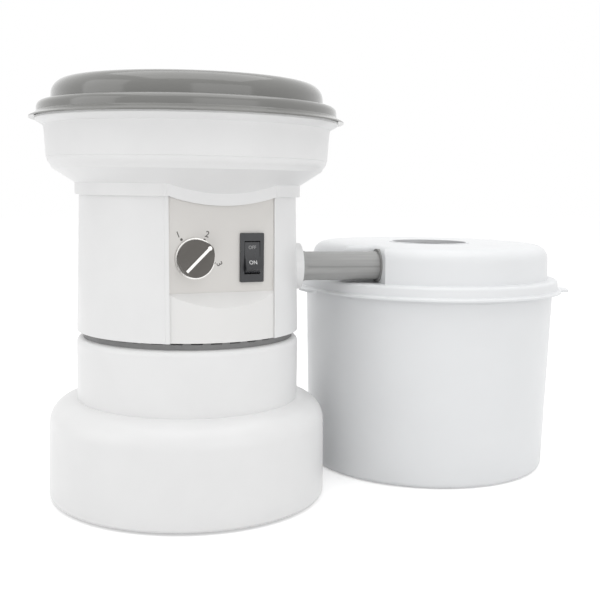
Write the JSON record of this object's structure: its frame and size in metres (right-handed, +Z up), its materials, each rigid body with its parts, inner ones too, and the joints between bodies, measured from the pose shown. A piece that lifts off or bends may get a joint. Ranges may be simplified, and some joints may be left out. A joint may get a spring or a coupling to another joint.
{
  "type": "electric grain mill",
  "caption": "Countertop grain mill with a lidded hopper, texture knob and rocker switch, joined by a short tube to a round flour canister with a filter lid.",
  "frame": {"origin": "on the floor, on the mill's own vertical axis", "axes": "+Z up along the mill's axis, -Y towards the front where the knob and switch are, +X towards the canister"},
  "size_m": [0.441, 0.2331, 0.3034],
  "materials": {
    "bell_base": "smooth satin white",
    "base_plate": "matte white",
    "rubber_feet": "matte dark",
    "base_screws": "zinc plated",
    "cord_gland": "matte black",
    "ring_housing": "smooth satin white",
    "vent_ring": "matte dark grey",
    "main_housing": "smooth satin white",
    "housing_screws": "zinc plated",
    "control_panel": "smooth, slightly warm white",
    "switch_body": "black",
    "switch_terminals": "tinned brass",
    "spindle_bushing": "plain bearing metal",
    "hopper": "smooth satin white",
    "hopper_screws": "zinc plated",
    "milling_chamber": "cast",
    "stator_head": "hardened steel",
    "chamber_cover": "cast",
    "chamber_seal": "soft rubber",
    "chamber_screws": "zinc plated",
    "outlet_port": "smooth satin white",
    "port_gasket": "soft rubber",
    "upper_motor_frame": "die cast",
    "motor_isolators": "soft rubber",
    "motor_mount_screws": "zinc plated",
    "stator_stack": "laminated steel",
    "field_coils": "enamelled copper",
    "lower_motor_frame": "die cast",
    "motor_bolts": "zinc plated",
    "upper_bearing": "ground steel",
    "lower_bearing": "ground steel",
    "brush_holders": "pressed brass",
    "carbon_brushes": "carbon",
    "motor_shaft": "ground steel",
    "armature": "laminated steel and copper wire",
    "commutator": "copper bars",
    "cooling_fan": "black moulding",
    "rotor_head": "hardened steel",
    "head_nut": "zinc plated",
    "knob_spindle": "acetal",
    "texture_knob": "warm dark grey",
    "knob_trim": "light grey",
    "feed_sleeve": "acetal",
    "switch_rocker": "black",
    "hopper_lid": "glossy grey",
    "canister": "smooth cool white",
    "canister_lid": "smooth cool white",
    "lid_gasket": "soft rubber",
    "flour_tube": "grey moulding",
    "tube_grommet": "soft rubber",
    "inlet_duct": "smooth",
    "filter_grid": "smooth",
    "foam_filter": "open foam",
    "cyclone_cup": "smooth, slightly clear"
  },
  "bodies": {
    "mill": {"bell_base": "bell_base", "base_plate": "base_plate", "rubber_feet": "rubber_feet", "base_screws": "base_screws", "cord_gland": "cord_gland", "ring_housing": "ring_housing", "vent_ring": "vent_ring", "main_housing": "main_housing", "housing_screws": "housing_screws", "control_panel": "control_panel", "switch_body": "switch_body", "switch_terminals": "switch_terminals", "spindle_bushing": "spindle_bushing", "hopper": "hopper", "hopper_screws": "hopper_screws", "milling_chamber": "milling_chamber", "stator_head": "stator_head", "chamber_cover": "chamber_cover", "chamber_seal": "chamber_seal", "chamber_screws": "chamber_screws", "outlet_port": "outlet_port", "port_gasket": "port_gasket", "upper_motor_frame": "upper_motor_frame", "motor_isolators": "motor_isolators", "motor_mount_screws": "motor_mount_screws", "stator_stack": "stator_stack", "field_coils": "field_coils", "lower_motor_frame": "lower_motor_frame", "motor_bolts": "motor_bolts", "upper_bearing": "upper_bearing", "lower_bearing": "lower_bearing", "brush_holders": "brush_holders", "carbon_brushes": "carbon_brushes"},
    "rotor": {"motor_shaft": "motor_shaft", "armature": "armature", "commutator": "commutator", "cooling_fan": "cooling_fan", "rotor_head": "rotor_head", "head_nut": "head_nut"},
    "knob": {"knob_spindle": "knob_spindle", "texture_knob": "texture_knob", "knob_trim": "knob_trim"},
    "feed": {"feed_sleeve": "feed_sleeve"},
    "rocker": {"switch_rocker": "switch_rocker"},
    "hopper_cover": {"hopper_lid": "hopper_lid"},
    "flour_canister": {"canister": "canister"},
    "flour_lid": {"canister_lid": "canister_lid", "lid_gasket": "lid_gasket", "flour_tube": "flour_tube", "tube_grommet": "tube_grommet", "inlet_duct": "inlet_duct", "filter_grid": "filter_grid"},
    "filter": {"foam_filter": "foam_filter"},
    "cup": {"cyclone_cup": "cyclone_cup"}
  },
  "joints": [
    {"name": "rotor_spin", "type": "hinge", "parent": "mill", "child": "rotor", "pos_m": [0, 0, 0.1], "axis": [0, 0, 1], "continuous": true},
    {"name": "knob_turn", "type": "hinge", "parent": "mill", "child": "knob", "pos_m": [-0.0198, -0.0692, 0.1806], "axis": [0, -1, 0], "range_deg": [-60, 80]},
    {"name": "feed_lift", "type": "slide", "parent": "mill", "child": "feed", "axis": [0, 0, 1], "range_m": [-0.00418, 0.00314]},
    {"name": "rocker_tip", "type": "hinge", "parent": "mill", "child": "rocker", "pos_m": [0.0212, -0.0652, 0.1806], "axis": [1, 0, 0], "range_deg": [0, 24]},
    {"name": "hopper_lid_lift", "type": "slide", "parent": "mill", "child": "hopper_cover", "axis": [0, 0, 1], "range_m": [0, 0.12]},
    {"name": "canister_pull", "type": "slide", "parent": "mill", "child": "flour_canister", "axis": [0.9781, -0.2079, 0], "range_m": [0, 0.12]},
    {"name": "flour_lid_lift", "type": "slide", "parent": "flour_canister", "child": "flour_lid", "axis": [0, 0, 1], "range_m": [0, 0.045]},
    {"name": "filter_lift", "type": "slide", "parent": "flour_lid", "child": "filter", "axis": [0, 0, 1], "range_m": [0, 0.05]},
    {"name": "cup_drop", "type": "slide", "parent": "flour_lid", "child": "cup", "axis": [0, 0, -1], "range_m": [0, 0.03]}
  ],
  "couplings": [
    {"joint": "knob_turn", "follows": "feed_lift", "rad_per_m": -333.33}
  ]
}
